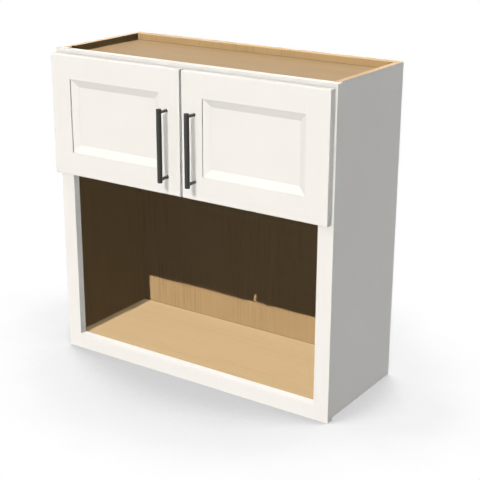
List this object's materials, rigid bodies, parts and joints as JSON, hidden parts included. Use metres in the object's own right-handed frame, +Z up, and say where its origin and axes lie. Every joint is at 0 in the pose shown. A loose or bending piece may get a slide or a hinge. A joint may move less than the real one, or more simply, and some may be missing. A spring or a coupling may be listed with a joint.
{
  "type": "kitchen wall cabinet",
  "caption": "White face-frame kitchen wall cabinet with two hinged recessed-panel doors and bar pulls above an open microwave bay.",
  "frame": {"origin": "bottom of the cabinet, on its middle plane, halfway between the wall face and the front of the pull bars", "axes": "+X to the right as seen from the front, +Y towards the wall, +Z up"},
  "size_m": [0.762, 0.3604, 0.762],
  "materials": {
    "white_painted_wood": "smooth satin white paint on hardwood and plywood",
    "maple_plywood": "clear-coated natural maple veneer",
    "dark_pull_metal": "satin dark grey metal",
    "nickel_steel": "nickel-plated stamped steel",
    "zinc_screws": "zinc-plated steel",
    "clear_bumper": "clear soft plastic"
  },
  "bodies": {
    "cabinet": {"left_end_panel": "white_painted_wood", "right_end_panel": "white_painted_wood", "top_panel": "maple_plywood", "microwave_floor": "maple_plywood", "cupboard_deck": "maple_plywood", "back_panel": "maple_plywood", "top_hang_rail": "maple_plywood", "bottom_hang_rail": "maple_plywood", "left_frame_stile": "white_painted_wood", "right_frame_stile": "white_painted_wood", "top_frame_rail": "white_painted_wood", "middle_frame_rail": "white_painted_wood", "bottom_frame_rail": "white_painted_wood", "frame_pocket_screws": "zinc_screws", "left_upper_hinge_base": "nickel_steel", "left_lower_hinge_base": "nickel_steel", "left_hinge_base_screws": "zinc_screws", "left_hinge_base_pins": "nickel_steel", "right_upper_hinge_base": "nickel_steel", "right_lower_hinge_base": "nickel_steel", "right_hinge_base_screws": "zinc_screws", "right_hinge_base_pins": "nickel_steel"},
    "left_hinge_links": {"left_upper_hinge_link": "nickel_steel", "left_lower_hinge_link": "nickel_steel"},
    "right_hinge_links": {"right_upper_hinge_link": "nickel_steel", "right_lower_hinge_link": "nickel_steel"},
    "left_door": {"left_door_hinge_stile": "white_painted_wood", "left_door_pull_stile": "white_painted_wood", "left_door_top_rail": "white_painted_wood", "left_door_bottom_rail": "white_painted_wood", "left_door_panel": "white_painted_wood", "left_upper_hinge_cup": "nickel_steel", "left_lower_hinge_cup": "nickel_steel", "left_hinge_cup_pins": "nickel_steel", "left_hinge_cup_screws": "zinc_screws", "left_door_bumpers": "clear_bumper", "left_pull_bar": "dark_pull_metal", "left_pull_posts": "dark_pull_metal", "left_pull_screws": "zinc_screws"},
    "right_door": {"right_door_hinge_stile": "white_painted_wood", "right_door_pull_stile": "white_painted_wood", "right_door_top_rail": "white_painted_wood", "right_door_bottom_rail": "white_painted_wood", "right_door_panel": "white_painted_wood", "right_upper_hinge_cup": "nickel_steel", "right_lower_hinge_cup": "nickel_steel", "right_hinge_cup_pins": "nickel_steel", "right_hinge_cup_screws": "zinc_screws", "right_door_bumpers": "clear_bumper", "right_pull_bar": "dark_pull_metal", "right_pull_posts": "dark_pull_metal", "right_pull_screws": "zinc_screws"}
  },
  "joints": [
    {"name": "left_link_turn", "type": "hinge", "parent": "cabinet", "child": "left_hinge_links", "pos_m": [-0.3355, -0.12202, 0.60885], "axis": [0, 0, -1], "range_deg": [-50, 0]},
    {"name": "left_door_swing", "type": "hinge", "parent": "left_hinge_links", "child": "left_door", "pos_m": [-0.36062, -0.13023, 0.60885], "axis": [0, 0, -1], "range_deg": [0, 150]},
    {"name": "right_link_turn", "type": "hinge", "parent": "cabinet", "child": "right_hinge_links", "pos_m": [0.3355, -0.12202, 0.60885], "axis": [0, 0, 1], "range_deg": [-50, 0]},
    {"name": "right_door_swing", "type": "hinge", "parent": "right_hinge_links", "child": "right_door", "pos_m": [0.36062, -0.13023, 0.60885], "axis": [0, 0, 1], "range_deg": [0, 150]}
  ],
  "couplings": [
    {"joint": "left_link_turn", "follows": "left_door_swing", "ratio": -0.33333},
    {"joint": "right_link_turn", "follows": "right_door_swing", "ratio": -0.33333}
  ]
}
